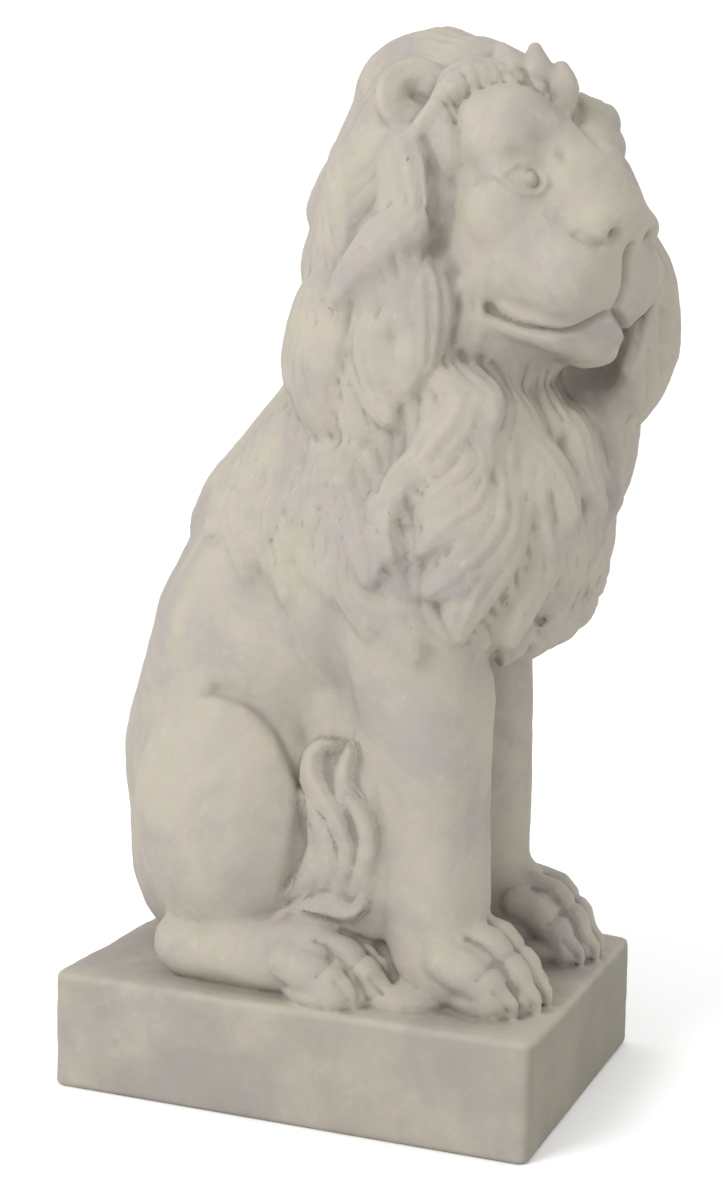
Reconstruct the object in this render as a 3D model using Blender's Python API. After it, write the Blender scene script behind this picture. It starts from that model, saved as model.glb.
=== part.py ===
"""A sitting lion on its plinth, cast in one piece, with its head turned to its right."""

import math

import bmesh
import bpy
import numpy as np
from mathutils import Matrix, Vector
from mathutils.bvhtree import BVHTree

# Driving dimensions, in metres
PLINTH_LENGTH = 0.516
PLINTH_WIDTH = 0.389
PLINTH_HEIGHT = 0.122
PLINTH_CORNER_RADIUS = 0.012
PLINTH_EDGE_RADIUS = 0.004
FIGURE_HEIGHT = 0.980
HEAD_TURN = 22.0

# The figure is laid out on a grid whose unit is a 98th of its height, 1 cm at the real size.
# X runs to the lion's left, Y to its back and Z up from the plinth's top.
UNIT = FIGURE_HEIGHT / 98
HEAD_CENTRE = Vector((0.0, -10.0, 78.0))
FACE_CENTRE = Vector((-5.2, -24.0, 76.5))
FACE_REACH = 11.0
FACE_WEIGHT = 0.5
FACE_CARE = 0.01

# Sides of the voxels that fuse the masses and then the carving, in grid units
ROUGH = 0.7
DETAIL = 0.5
FIGURE_TRIANGLES = 9300

# Every lock is bent in this many steps. The ones that fall by themselves stand this high.
LOCK_STEPS = 14
LOCK_HEIGHT = 3.2


def head_frame():
    """From the head's own grid, whose face looks along -Y, to the figure's grid."""
    turn = Matrix.Rotation(-math.radians(HEAD_TURN), 4, "Z")
    return Matrix.Translation(HEAD_CENTRE) @ turn


def unit_ball(detail):
    ball = bmesh.new()
    bmesh.ops.create_icosphere(ball, subdivisions=detail, radius=1.0)
    mesh = bpy.data.meshes.new("ball")
    ball.to_mesh(mesh)
    ball.free()
    return mesh, np.array([v.co for v in mesh.vertices])


class Clay:
    """Overlapping forms in grid units, which are fused into one closed body."""

    def __init__(self, frame=None):
        self.mesh = bmesh.new()
        self.frame = frame or Matrix.Identity(4)
        self.balls = {detail: unit_ball(detail) for detail in (2, 3)}

    def ball(self, centre, radii, turn=(0, 0, 0), detail=3):
        angles = [math.radians(a) for a in turn]
        place = Matrix.Translation(centre)
        for angle, axis in zip(angles, "XYZ"):
            place = place @ Matrix.Rotation(angle, 4, axis)
        place = np.array(self.frame @ place @ Matrix.Diagonal((*radii, 1.0)))
        mesh, shape = self.balls[detail]
        mesh.vertices.foreach_set("co", (shape @ place[:3, :3].T + place[:3, 3]).ravel())
        self.mesh.from_mesh(mesh)

    def roll(self, points, radii, flat=(1, 1, 1)):
        """A tapering roll through the points, laid down as a row of close balls."""
        points = [Vector(p) for p in points]
        for a, b, ra, rb in zip(points, points[1:], radii, radii[1:]):
            count = max(2, math.ceil((b - a).length / (0.4 * min(ra, rb))))
            for i in range(count + 1):
                share = i / count
                radius = ra + (rb - ra) * share
                self.ball(a.lerp(b, share), [radius * f for f in flat], detail=2)


def pairs(clay, form, centre, radii, turn=(0, 0, 0)):
    for side in (-1, 1):
        turned = (turn[0], side * turn[1], side * turn[2])
        getattr(clay, form)((side * centre[0], centre[1], centre[2]), radii, turned)


def body(clay):
    clay.roll(
        [(0, 11, 11), (0, 11, 22), (0, 8.5, 33), (0, 4.5, 43), (0, -2, 54), (0, -5, 64)],
        [14.8, 15.2, 14.6, 14, 12.6, 11],
        (0.95, 1, 1),
    )
    pairs(clay, "ball", (11.6, 9.5, 17), (7, 11.6, 13.6))
    pairs(clay, "ball", (10.2, -3.5, 43), (5.6, 9, 13), (12, 0, 0))
    clay.ball((0, -3, 19), (13.6, 9.5, 30))


def hind_foot(clay, side):
    x = side * 13.7
    clay.roll([(x, 12, 3.4), (x, 4, 3.6), (x, -2, 3.8)], [3.8, 4.2, 4.1], (1.15, 1, 1))
    for offset, reach in zip((-3.7, -1.3, 1.3, 3.7), (0, 1.2, 1.4, 0.3)):
        toe(clay, x + offset, -3.6 - reach, 1.45, 1.0)


def toe(clay, x, front, radius, size=1.0):
    clay.ball((x, front + 2.6 * size, 4.6 * size), (radius, 3.0 * size, 2.7 * size), (28, 0, 0))
    clay.ball((x, front - 0.4 * size, 2.3 * size), (radius * 1.08, 2.5 * size, 2.5 * size))
    clay.roll(
        [(x, front - 1.6 * size, 2.2 * size), (x, front - 3.3 * size, 0.9 * size)],
        [radius * 0.62, radius * 0.3],
    )


def front_leg(clay, side):
    x = side * 9.6
    back = 1.2 if side < 0 else 2.2
    clay.roll(
        [
            (x * 1.08, back - 9, 44),
            (x * 1.05, back - 12.2, 31),
            (x, back - 13.4, 17),
            (x, back - 13.8, 5),
        ],
        [7.6, 6.6, 5.6, 5.2],
    )
    clay.ball((x, -15.4, 4.0), (5.7, 6.0, 5.0))
    for offset, reach in zip((-4.3, -1.5, 1.5, 4.3), (0, 1.3, 1.6, 0.4)):
        toe(clay, x + offset, -19.4 - reach, 1.65, 1.05)


def mane_mass(clay):
    clay.ball((0, -7.4, 76.8), (12.8, 11, 18.4))
    clay.ball((0, -5.2, 74), (11.5, 11.2, 15))
    clay.ball((0, -9.5, 62), (14.5, 13, 18))
    clay.ball((0.5, -12.8, 50), (14.3, 12.3, 15))
    clay.ball((0, -0.6, 46.5), (12, 10.5, 13), (-28, 0, 0))
    clay.ball((6.5, -16.2, 58), (8.5, 9.8, 14))
    pairs(clay, "ball", (8, -12.6, 46.5), (8.6, 9, 12.5))
    clay.ball((-6, -14, 58), (8.5, 8, 15))


def head(clay):
    clay.ball((0, -4, 2), (10.7, 10.6, 11))
    pairs(clay, "ball", (5.6, -6.5, -3.2), (5.4, 7.8, 8))
    pairs(clay, "ball", (5.8, -10.6, 0), (5.0, 4.6, 4.8))
    pairs(clay, "ball", (5.0, -12.2, -3.6), (4.4, 5.6, 5.8))
    pairs(clay, "ball", (5.2, -10.4, 6.4), (5.4, 4.2, 3.7))
    pairs(clay, "ball", (3.1, -12.7, 6.6), (3.2, 3.3, 3.2))
    pairs(clay, "ball", (3.5, -8.4, 8.4), (6, 5.5, 4.6))
    pairs(clay, "ball", (3.5, -12.8, -5.0), (4.5, 5.2, 5.4))
    pairs(clay, "ball", (4.0, -16.3, -5.2), (4.2, 3.9, 4.9))
    clay.roll([(0, -11.2, 5.6), (0, -15.2, 3.0), (0, -18.4, -0.6)], [4.6, 4.2, 3.4], (1.45, 1, 1))
    pairs(clay, "ball", (2.7, -18.9, -1.4), (2.6, 2.6, 2.3))
    clay.ball((0, -19.2, -1.3), (2.6, 2.4, 2.1))
    pairs(clay, "ball", (2.9, -11.5, -10.4), (4.3, 7.0, 3.0))
    clay.ball((0, -14.6, -11.2), (5.6, 4.3, 3.1))
    pairs(clay, "ball", (7.2, -12.0, 3.2), (2.7, 2.6, 2.3))
    clay.ball((-9.4, -2.8, -9), (5.6, 5.8, 10))
    clay.ball((11.5, -7.6, -9), (5.6, 9.5, 12))
    clay.ball((0, -3.6, 11.4), (8.5, 8, 6.2))


def ears(clay):
    """Round cupped ears, with a rolled rim and fluff inside."""
    for side in (-1, 1):
        centre = Vector((side * 9.9, -1.9, 11.5))
        facing = Vector((side * 0.75, -0.62, 0.25)).normalized()
        across = facing.cross(Vector((0, 0, 1))).normalized()
        upward = across.cross(facing)
        clay.ball(centre - facing * 2.6, (3.4, 3.4, 3.6))
        rim = []
        for i in range(13):
            angle = math.radians(-60 + 300 * i / 12)
            rim.append(centre + (across * math.cos(angle) + upward * math.sin(angle)) * 2.7)
        clay.roll(rim, [1.05] * len(rim))


def forelocks(clay):
    """The thick hair over the brow, parted in the middle, and the tuft that stands up there."""
    for side in (-1, 1):
        clay.roll(
            [
                (side * 1.5, -11.4, 10.4),
                (side * 4, -9.2, 12.0),
                (side * 6.8, -7.0, 12.4),
                (side * 9.2, -4.8, 11.0),
                (side * 10.4, -4.0, 7.8),
            ],
            [1.3, 2.1, 2.3, 1.8, 1.0],
        )
        clay.roll(
            [(side * 0.9, -11.2, 10.8), (side * 1.6, -11.4, 13), (side * 1.1, -10.9, 14.6)],
            [1.3, 1.5, 0.7],
        )
        clay.roll(
            [(side * 1.4, -9.6, 12), (side * 2.2, -8.6, 14), (side * 1.4, -7.6, 15.4)],
            [1.4, 1.9, 0.9],
        )


def smooth_course(points, count):
    """Points along a curve through the given ones."""
    points = [Vector(p) for p in points]
    ends = [points[0] * 2 - points[1]] + points + [points[-1] * 2 - points[-2]]
    course = []
    for i in range(count):
        at = (len(points) - 1) * i / (count - 1)
        step = min(int(at), len(points) - 2)
        t = at - step
        a, b, c, d = ends[step : step + 4]
        bend = (a * 2 - b * 5 + c * 4 - d) * t * t + (b * 3 - a - c * 3 + d) * t**3
        course.append((b * 2 + (c - a) * t + bend) / 2)
    return course


class Hair:
    """Locks laid over a skin. Each is a pointed spindle, bent along the way the hair falls."""

    def __init__(self, skin, rings, sides):
        self.tree = BVHTree.FromPolygons(
            [v.co for v in skin.vertices], [p.vertices for p in skin.polygons]
        )
        self.rings = rings
        self.sides = sides
        self.spindle = self.unit_spindle()
        self.shape = np.array([v.co for v in self.spindle.vertices])
        self.mesh = bmesh.new()

    def unit_spindle(self):
        """A round cane from 0 to 1 along X, one unit thick, with closed ends."""
        cane = bmesh.new()
        bmesh.ops.create_cone(
            cane, cap_ends=True, cap_tris=True, segments=self.sides, radius1=1, radius2=1, depth=1
        )
        along = [e for e in cane.edges if abs(e.verts[0].co.z - e.verts[1].co.z) > 0.5]
        bmesh.ops.subdivide_edges(cane, edges=along, cuts=self.rings - 1)
        turn = Matrix.Rotation(math.radians(90), 4, "Y") @ Matrix.Translation((0, 0, 0.5))
        bmesh.ops.transform(cane, matrix=turn, verts=cane.verts)
        mesh = bpy.data.meshes.new("spindle")
        cane.to_mesh(mesh)
        cane.free()
        return mesh

    def on_skin(self, point):
        place, normal, _, _ = self.tree.find_nearest(point)
        return place, normal

    def way(self, root, length, sway, phase):
        """Points and skin normals along one lock, which falls with the mane and sways across."""
        place, normal = self.on_skin(root)
        points, normals = [place], [normal]
        for i in range(LOCK_STEPS):
            ahead = fall_of_mane(place)
            across = ahead.cross(normal).normalized()
            angle = math.radians(sway) * math.sin(2 * math.pi * (i / LOCK_STEPS + phase))
            heading = ahead * math.cos(angle) + across * math.sin(angle)
            heading = (heading - normal * heading.dot(normal)).normalized()
            place, normal = self.on_skin(place + heading * length / LOCK_STEPS)
            points.append(place)
            normals.append(normal)
        return points, normals

    def lock_along(self, course, width, height):
        """A lock whose middle line runs over the skin beneath the course's points."""
        found = [self.on_skin(p) for p in smooth_course(course, LOCK_STEPS + 1)]
        self.place_spindle([f[0] for f in found], [f[1] for f in found], width, height)

    def lock(self, root, length, width, height, sway, phase):
        points, normals = self.way(root, length, sway, phase)
        self.place_spindle(points, normals, width, height)

    def place_spindle(self, points, normals, width, height, lift=0.3):
        points, normals = np.array(points), np.array(normals)
        tangents = np.gradient(points, axis=0)
        tangents /= np.linalg.norm(tangents, axis=1)[:, None]
        across = np.cross(tangents, normals)
        across /= np.linalg.norm(across, axis=1)[:, None]
        shape = self.shape
        share = np.clip(shape[:, 0], 0, 1)
        at = share * (len(points) - 1)
        low = np.minimum(at.astype(int), len(points) - 2)
        part = (at - low)[:, None]

        def along(values):
            return values[low] * (1 - part) + values[low + 1] * part

        full = np.sin(math.pi * np.clip(share, 0.02, 0.97) ** 0.8) ** 0.65
        rise = height * (-0.35 + (0.35 + lift) * np.sin(0.5 * math.pi * share) ** 2)
        side = shape[:, 1] * full * width / 2
        top = rise + shape[:, 2] * full * height / 2
        placed = along(points) + along(across) * side[:, None] + along(normals) * top[:, None]
        self.spindle.vertices.foreach_set("co", placed.ravel())
        self.mesh.from_mesh(self.spindle)


def smooth_share(value, start, end):
    share = min(1.0, max(0.0, (value - start) / (end - start)))
    return share * share * (3 - 2 * share)


def fall_of_mane(place):
    """Which way the mane's hair runs: back over the crown, then down."""
    forward = head_frame().to_3x3() @ Vector((0, -1, 0))
    out = place - HEAD_CENTRE
    behind = -out.dot(forward)
    out = out + forward * behind
    rise = max(0.0, out.normalized().z)
    toward_middle = Vector((-0.012 * place.x, 0, 0)) if place.y < -5 else Vector()
    down = Vector((0, -0.1, -1)) + toward_middle
    near = out.normalized() * 0.3 - forward * (0.3 + 0.7 * rise) + down * (0.8 - 0.8 * rise)
    share = max(smooth_share(out.length, 9, 21), smooth_share(behind, 0, 8))
    if place.z > 90:
        share = smooth_share(behind, 0, 8)
    return (near * (1 - share) + down * (0.25 + share)).normalized()


def lay_ring(hair, rng, radius, depth, count, length, width, gap):
    """Locks that spring from a ring round the face, left open over the brow."""
    for i in range(count):
        angle = math.radians(gap + (360 - 2 * gap) * i / (count - 1))
        root = Vector((radius * math.sin(angle) * 0.92, depth, radius * math.cos(angle)))
        free_lock(hair, rng, head_frame() @ root, length, width)


def free_lock(hair, rng, root, length, width):
    """A lock of about this size that sways by chance."""
    length *= rng.uniform(0.85, 1.15)
    width *= rng.uniform(0.85, 1.15)
    sway = rng.uniform(14, 30)
    hair.lock(root, length, width, LOCK_HEIGHT, sway, rng.uniform(0, 1))


def ruff_locks(hair):
    """The long locks beside each cheek, which swing out and back in."""
    frame = head_frame()
    for course, width, height in (
        ([(12, 5.5, 11.5), (13, 6.8, 6), (12.5, 3.2, 1), (12.5, 2, -5)], 4.8, 3.4),
        ([(11.5, 0.5, 8.5), (11.5, -2.2, 5), (12, -3.6, 0), (12, -0.5, -5), (12, 0.8, -9)], 5.6, 4.0),
        ([(11.5, -4.6, -1), (12, -6.6, -6), (12.5, -5.2, -12), (13, -1.5, -18)], 5.2, 3.6),
    ):
        for side in (-1, 1):
            hair.lock_along([frame @ Vector((side * x, y, z)) for x, y, z in course], width, height)


def tail_tuft(clay):
    """The flame-shaped tuft of the tail, which comes up between the haunch and the foreleg.

    Each strand is a list of Y and Z, and its radius at the start, the middle and the tip.
    """
    front = [(-4, 9.2), (-5.9, 12.6), (-6.6, 17), (-5.1, 20.6), (-2.8, 23.4), (-1.4, 25.6), (-2.8, 26.6)]
    strands = (
        (front, (1.1, 1.5, 0.6)),
        ([(-1.2, 8.5), (-3.6, 12.6), (-3.9, 16.5), (-1.8, 20.6), (-0.6, 23.2)], (1.2, 1.6, 0.7)),
        ([(5, 5.6), (0, 7.6), (-4, 9), (-6.8, 8.4), (-7.8, 10.2)], (1.2, 1.8, 0.6)),
        ([(-6.6, 18.6), (-5.2, 22.4), (-5.8, 26.4)], (0.8, 1.5, 0.5)),
        ([(2, 8.4), (-0.8, 11), (-1.4, 14.6)], (1.0, 1.3, 0.5)),
    )
    for course, radii in strands:
        for side in (-1, 1):
            points = smooth_course([(side * 13.6, y, z) for y, z in course], 12)
            widths = [taper(radii, i / 11) for i in range(12)]
            clay.roll(points, widths, (1.0, 0.8, 0.8))


def taper(radii, share):
    """The radius at a share of a roll's length, from those at its start, middle and tip."""
    start, middle, tip = radii
    if share < 0.5:
        return start + (middle - start) * math.sin(math.pi * share)
    return tip + (middle - tip) * math.sin(math.pi * share)


def crown_rows(hair):
    """Locks combed back from the brow over the crown."""
    for reach, height, count, length in ((4, 15, 6, 16), (-5, 13, 6, 18)):
        for i in range(count):
            across = -1 + 2 * (i + 0.5) / count
            root = head_frame() @ Vector((9.5 * across, reach + 4 * across * across, height))
            hair.lock(root, length, 5.5, 3.0, 12, 0.25 if across < 0 else 0.75)


def neck_rows(hair, rng):
    """Locks in rows round the neck, the lowest laid first."""
    rows = ((44, 60, 22, 12), (50, 66, 20, 16), (58, 73, 19, 18), (66, 79, 18, 19))
    for front, back, count, length in rows:
        for i in range(count):
            angle = 2 * math.pi * (i + 0.5 * (count % 2)) / count
            share = ((1 - math.cos(angle)) / 2) ** 0.8
            height = front + (back - front) * share
            root = Vector((18 * math.sin(angle), -8 - 20 * math.cos(angle), height))
            free_lock(hair, rng, root, length, 6.5)


class Sculpt:
    """Strokes worked into a finished skin, along its own normals."""

    def __init__(self, mesh, frame=None):
        self.mesh = mesh
        self.frame = frame or Matrix.Identity(4)
        count = len(mesh.vertices)
        self.places = np.empty(count * 3)
        mesh.vertices.foreach_get("co", self.places)
        self.places = self.places.reshape(-1, 3)
        self.normals = np.empty(count * 3)
        mesh.vertices.foreach_get("normal", self.normals)
        self.normals = self.normals.reshape(-1, 3)

    def stroke(self, points, depth, width, mirrored=True):
        """A groove along the points, or a ridge if the depth is negative."""
        for side in (1, -1) if mirrored else (1,):
            line = [np.array(self.frame @ Vector((side * x, y, z))) for x, y, z in points]
            line = line if len(line) > 1 else line * 2
            away = np.full(len(self.places), np.inf)
            for a, b in zip(line, line[1:]):
                span = b - a
                share = (self.places - a) @ span / max(span @ span, 1e-9)
                share = np.clip(share, 0, 1)[:, None]
                away = np.minimum(away, np.linalg.norm(self.places - a - share * span, axis=1))
            self.places -= self.normals * (depth * np.exp(-((away / width) ** 2)))[:, None]

    def done(self):
        self.mesh.vertices.foreach_set("co", self.places.ravel())
        self.mesh.update()


def face_strokes(sculpt):
    sculpt.frame = head_frame()
    stroke = sculpt.stroke
    # Sockets, with the lids and the iris
    stroke([(8.6, -13.6, 5.2), (6.2, -15.0, 4.4)], 0.35, 1.0)
    stroke([(9.5, -12.6, 3.3), (8.4, -13.8, 4.7), (6.8, -14.8, 4.6), (5.6, -15.2, 2.9)], -0.4, 0.4)
    stroke([(9.5, -12.6, 3.3), (8.3, -13.9, 1.9), (6.7, -14.8, 1.8), (5.6, -15.2, 2.9)], -0.35, 0.4)
    stroke([(9.7, -12.4, 3.2), (11.0, -9.6, 3.3)], 0.3, 0.4)
    stroke([(7.4, -14.3, 3.3)], -0.4, 0.8)
    stroke([(4.4, -15.8, 5.4)], 0.5, 0.7)
    # Forehead's parting
    stroke([(0, -12, 11), (0, -14.6, 7), (0, -15.6, 5.6)], 0.7, 0.9, False)
    # Nostrils and the wings of the nose
    stroke([(2.7, -21.4, -1.9)], 1.5, 0.75)
    stroke([(2.8, -21.2, -2.3), (4.2, -20.2, -2.8), (5.4, -18.6, -2.0)], 0.5, 0.5)
    # Philtrum and the line of the lips
    stroke([(0, -21.2, -3.0), (0, -20.0, -5.6), (0, -18.6, -8.1)], 0.9, 0.5, False)
    stroke(
        [
            (0, -18.4, -8.1),
            (3, -18.2, -10.1),
            (5, -16.4, -10.7),
            (7, -13.7, -10.3),
            (8, -11, -9.2),
        ],
        1.0,
        0.5,
    )
    stroke([(8.2, -10.4, -9.0)], 0.8, 0.7)


def neck_strokes(sculpt):
    sculpt.frame = head_frame()
    sculpt.stroke([(10.6, -5.6, 7.5), (11, -5.8, 2), (10.8, -5.4, -4)], 1.4, 1.1)
    sculpt.stroke([(7.5, -6.5, -12), (3.5, -9.5, -14.5)], 1.6, 2.0)


def body_strokes(sculpt):
    sculpt.frame = Matrix.Identity(4)
    stroke = sculpt.stroke
    # Crease round the front of the haunch
    rim = [(17.5, 13, 31.5), (17.5, 5, 31), (17, -1.5, 26), (16.5, -3.2, 19), (16.5, -1.8, 12), (17, 2, 7.5)]
    stroke(rim, 1.1, 1.3)


def fused(clay, voxel, smoothing, name):
    """The clay as one skin, in grid units."""
    mesh = bpy.data.meshes.new(name)
    clay.mesh.to_mesh(mesh)
    clay.mesh.free()
    figure = bpy.data.objects.new(name, mesh)
    bpy.context.scene.collection.objects.link(figure)
    remesh = figure.modifiers.new("fuse", "REMESH")
    remesh.mode = "VOXEL"
    remesh.voxel_size = voxel
    smooth = figure.modifiers.new("smooth", "SMOOTH")
    smooth.factor = 0.5
    smooth.iterations = smoothing
    graph = bpy.context.evaluated_depsgraph_get()
    skin = bpy.data.meshes.new_from_object(figure.evaluated_get(graph))
    bpy.data.objects.remove(figure)
    return skin


def clear_scene():
    for item in list(bpy.data.objects):
        bpy.data.objects.remove(item)


def bed(clay):
    """A slab just under the plinth's top, which gives the feet a soft foot of their own."""
    size = Matrix.Diagonal((PLINTH_WIDTH / UNIT - 2, PLINTH_LENGTH / UNIT - 2, 5, 1))
    bmesh.ops.create_cube(clay.mesh, size=1, matrix=Matrix.Translation((0, 0, -2.8)) @ size)


def plinth():
    """The block, with rounded corners and softer arrises."""
    block = bmesh.new()
    size = Matrix.Diagonal((PLINTH_WIDTH, PLINTH_LENGTH, PLINTH_HEIGHT, 1))
    place = Matrix.Translation((0, 0, PLINTH_HEIGHT / 2))
    bmesh.ops.create_cube(block, size=1, matrix=place @ size)
    upright = [e for e in block.edges if abs(e.verts[0].co.z - e.verts[1].co.z) > PLINTH_HEIGHT / 2]
    bmesh.ops.bevel(
        block, geom=upright, offset=PLINTH_CORNER_RADIUS, segments=4, profile=0.5, affect="EDGES"
    )
    rims = [e for e in block.edges if abs(e.verts[0].co.z - e.verts[1].co.z) < PLINTH_HEIGHT / 2]
    bmesh.ops.bevel(
        block, geom=rims, offset=PLINTH_EDGE_RADIUS, segments=3, profile=0.5, affect="EDGES"
    )
    mesh = bpy.data.meshes.new("plinth")
    block.to_mesh(mesh)
    block.free()
    return mesh


def trimmed(mesh, height):
    """The mesh without what is below the height, and closed there."""
    form = bmesh.new()
    form.from_mesh(mesh)
    everything = form.verts[:] + form.edges[:] + form.faces[:]
    cut = bmesh.ops.bisect_plane(
        form, geom=everything, plane_co=(0, 0, height), plane_no=(0, 0, -1), clear_outer=True
    )
    rim = [e for e in cut["geom_cut"] if isinstance(e, bmesh.types.BMEdge)]
    bmesh.ops.triangle_fill(form, edges=rim, use_beauty=True)
    bmesh.ops.recalc_face_normals(form, faces=form.faces)
    form.to_mesh(mesh)
    form.free()


def stone():
    material = bpy.data.materials.new("cast_stone")
    material.use_nodes = True
    shader = material.node_tree.nodes["Principled BSDF"]
    shader.inputs["Base Color"].default_value = (0.58, 0.54, 0.46, 1)
    shader.inputs["Roughness"].default_value = 0.85
    shader.inputs["Metallic"].default_value = 0.0
    return material


def sculpted_lion():
    """The whole figure's skin, in grid units."""
    clay = Clay()
    body(clay)
    for side in (-1, 1):
        hind_foot(clay, side)
        front_leg(clay, side)
    mane_mass(clay)
    bed(clay)
    clay.frame = head_frame()
    head(clay)
    skin = fused(clay, ROUGH, 5, "base")
    hair = Hair(skin, rings=10, sides=8)
    rng = np.random.default_rng(5)
    neck_rows(hair, rng)
    crown_rows(hair)
    lay_ring(hair, rng, 19, 5, 15, 18, 6.5, 70)
    lay_ring(hair, rng, 15.5, 0, 15, 17, 6, 68)
    lay_ring(hair, rng, 12.5, -4, 15, 14, 5, 72)
    ruff_locks(hair)
    hair.mesh.from_mesh(skin)
    details = Clay()
    tail_tuft(details)
    details.frame = head_frame()
    ears(details)
    forelocks(details)
    loose = bpy.data.meshes.new("details")
    details.mesh.to_mesh(loose)
    hair.mesh.from_mesh(loose)
    skin = fused(hair, DETAIL, 2, "sitting_lion")
    sculpt = Sculpt(skin)
    face_strokes(sculpt)
    neck_strokes(sculpt)
    body_strokes(sculpt)
    sculpt.done()
    return skin


def main():
    clear_scene()
    skin = sculpted_lion()
    trimmed(skin, -1.0)
    placed = Matrix.Translation((0, 0, PLINTH_HEIGHT)) @ Matrix.Scale(UNIT, 4)
    skin.transform(placed)
    lion = bpy.data.objects.new("sitting_lion", skin)
    bpy.context.scene.collection.objects.link(lion)
    keep = lion.vertex_groups.new(name="thinned")
    face = placed @ FACE_CENTRE
    near = [v.index for v in skin.vertices if (v.co - face).length < FACE_REACH * UNIT]
    keep.add(range(len(skin.vertices)), 1.0, "REPLACE")
    keep.add(near, FACE_WEIGHT, "REPLACE")
    thin = lion.modifiers.new("thin", "DECIMATE")
    thin.vertex_group = keep.name
    thin.vertex_group_factor = FACE_CARE
    thin.ratio = FIGURE_TRIANGLES / sum(len(p.vertices) - 2 for p in skin.polygons)
    base = bpy.data.objects.new("plinth", plinth())
    bpy.context.scene.collection.objects.link(base)
    base.hide_render = True
    base.display_type = "WIRE"
    join = lion.modifiers.new("stand", "BOOLEAN")
    join.operation = "UNION"
    join.solver = "EXACT"
    join.object = base
    lion.data.materials.append(stone())
    lion.data.shade_smooth()
    lion.data.set_sharp_from_angle(angle=math.radians(60))


if __name__ == "__main__":
    main()
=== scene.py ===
import math

import bmesh
import bpy
import numpy as np
from mathutils import Matrix, Vector, noise
from mathutils.bvhtree import BVHTree


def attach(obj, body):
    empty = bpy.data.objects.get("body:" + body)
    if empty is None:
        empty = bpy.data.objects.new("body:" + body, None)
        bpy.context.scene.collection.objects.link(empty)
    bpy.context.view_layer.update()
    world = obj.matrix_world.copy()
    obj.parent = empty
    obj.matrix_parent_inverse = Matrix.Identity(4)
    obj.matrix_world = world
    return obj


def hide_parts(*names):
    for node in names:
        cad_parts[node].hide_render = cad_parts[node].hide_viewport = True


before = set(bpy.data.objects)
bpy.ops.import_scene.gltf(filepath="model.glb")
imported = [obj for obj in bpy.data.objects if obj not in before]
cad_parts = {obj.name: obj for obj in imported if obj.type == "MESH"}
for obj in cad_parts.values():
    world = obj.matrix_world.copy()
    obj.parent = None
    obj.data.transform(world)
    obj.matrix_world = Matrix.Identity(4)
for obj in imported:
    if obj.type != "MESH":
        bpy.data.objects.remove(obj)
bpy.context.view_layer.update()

# The figure is shaped on a grid in centimetres. X runs to the lion's left, Y to its back and
# Z up from the plinth's top. The head has a grid of its own, whose face looks along -Y.
grid = {
    "unit": 0.01,
    "plinthTop": 0.122,
    "headCentre": (0, -10, 78),
    "headTurn": -22,
    # voxel and rounds of smoothing, each time that lumps are fused
    "body": (0.7, 16),
    "head": (0.5, 9),
    "bare": (0.34, 8),
    "finished": (0.29, 2),
}
headTurn = Matrix.Rotation(math.radians(grid["headTurn"]), 4, "Z")
headFrame = Matrix.Translation(grid["headCentre"]) @ headTurn
plain = Matrix.Identity(4)


# Working the clay

def ballMesh(detail):
    bm = bmesh.new()
    bmesh.ops.create_icosphere(bm, subdivisions=detail, radius=1.0)
    mesh = bpy.data.meshes.new("ball")
    bm.to_mesh(mesh)
    bm.free()
    return mesh, np.array([v.co for v in mesh.vertices])


balls = {detail: ballMesh(detail) for detail in (2, 3)}


def addBall(bm, place, centre, radii, turn=(0, 0, 0), detail=3):
    at = place @ Matrix.Translation(centre)
    for angle, axis in zip(turn, "XYZ"):
        at = at @ Matrix.Rotation(math.radians(angle), 4, axis)
    at = np.array(at @ Matrix.Diagonal((*radii, 1.0)))
    mesh, shape = balls[detail]
    mesh.vertices.foreach_set("co", (shape @ at[:3, :3].T + at[:3, 3]).ravel())
    bm.from_mesh(mesh)


rollForm = {
    "spacing": 0.3,  # from ball to ball, as a share of the radius
    "large": 2.5,  # a ball over this radius has finer faces
}


def addRoll(bm, place, points, radii, flat=(1, 1, 1)):
    points = [Vector(p) for p in points]
    for a, b, ra, rb in zip(points, points[1:], radii, radii[1:]):
        count = max(2, math.ceil((b - a).length / (rollForm["spacing"] * min(ra, rb))))
        for i in range(count + 1):
            share = i / count
            radius = ra + (rb - ra) * share
            detail = 3 if radius > rollForm["large"] else 2
            addBall(bm, place, a.lerp(b, share), [radius * f for f in flat], detail=detail)


def curveThrough(points, count):
    points = [Vector(p) for p in points]
    ends = [points[0] * 2 - points[1]] + points + [points[-1] * 2 - points[-2]]
    course = []
    for i in range(count):
        at = (len(points) - 1) * i / (count - 1)
        step = min(int(at), len(points) - 2)
        t = at - step
        a, b, c, d = ends[step : step + 4]
        bend = (a * 2 - b * 5 + c * 4 - d) * t * t + (b * 3 - a - c * 3 + d) * t**3
        course.append((b * 2 + (c - a) * t + bend) / 2)
    return course


def addCurl(bm, place, points, radii, count=7):
    # a roll along a smooth curve, with its radii spread evenly over it
    thick = np.interp(range(count), np.linspace(0, count - 1, len(radii)), radii)
    addRoll(bm, place, curveThrough(points, count), thick)


def pileUp(bm, place, forms):
    # balls of a centre, radii and sometimes a turn, mirrored where X is above 0
    for centre, radii, *turn in forms:
        turn = turn[0] if turn else (0, 0, 0)
        addBall(bm, place, centre, radii, turn)
        if centre[0] > 0:
            addBall(bm, place, (-centre[0], *centre[1:]), radii, (turn[0], -turn[1], -turn[2]))


# Body, legs and feet

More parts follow.
